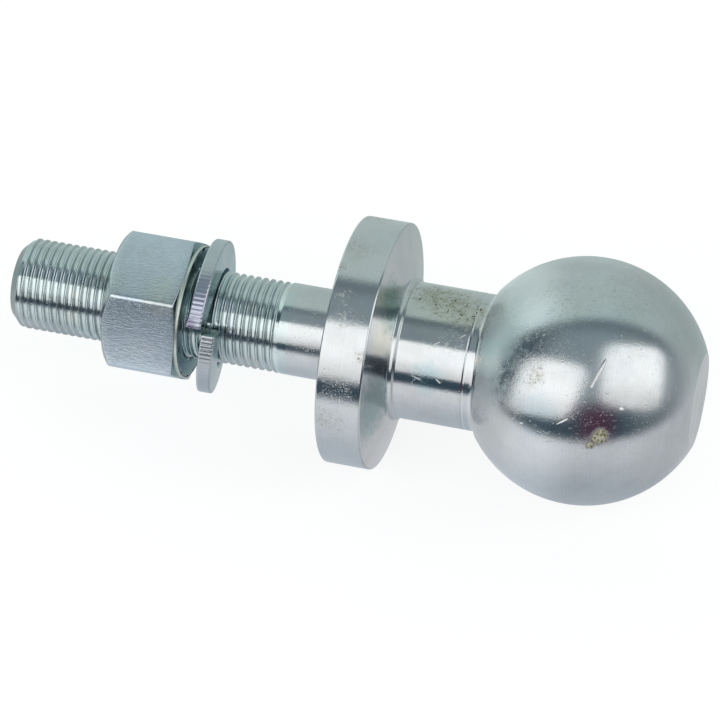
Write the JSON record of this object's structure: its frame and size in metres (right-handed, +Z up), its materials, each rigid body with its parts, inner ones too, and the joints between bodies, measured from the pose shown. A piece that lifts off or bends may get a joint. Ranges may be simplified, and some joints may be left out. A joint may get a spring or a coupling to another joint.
{
  "type": "hitch ball",
  "caption": "Bolt-on tow ball turned in one piece with its raised neck, seat collar and threaded shank, with a hex nut and a split spring washer.",
  "frame": {"origin": "the point of the resting surface under the middle of the part's length, as it lies on its side on a bench", "axes": "+X along the stud's axis from the thread's end to the ball, +Z up, +Y to the back"},
  "size_m": [0.1446, 0.0514, 0.0515],
  "materials": {
    "stud_zinc": "bright zinc plate over a fine turned finish",
    "nut_zinc": "satin zinc plate over drawn flats",
    "washer_zinc": "satin zinc plate over coiled wire with tool ridges"
  },
  "bodies": {
    "stud": {"ball_stud": "stud_zinc"},
    "washer": {"lock_washer": "washer_zinc"},
    "nut": {"hex_nut": "nut_zinc"}
  },
  "joints": [
    {"name": "washer_slide", "type": "slide", "parent": "stud", "child": "washer", "axis": [1, 0, 0], "range_m": [-0.03655, 0.0179]},
    {"name": "nut_turn", "type": "hinge", "parent": "washer", "child": "nut", "pos_m": [-0.04207, 0, 0.02575], "axis": [1, 0, 0], "range_deg": [-8280, 4050]}
  ],
  "couplings": [
    {"joint": "washer_slide", "follows": "nut_turn", "m_per_rad": 0.00025266}
  ]
}
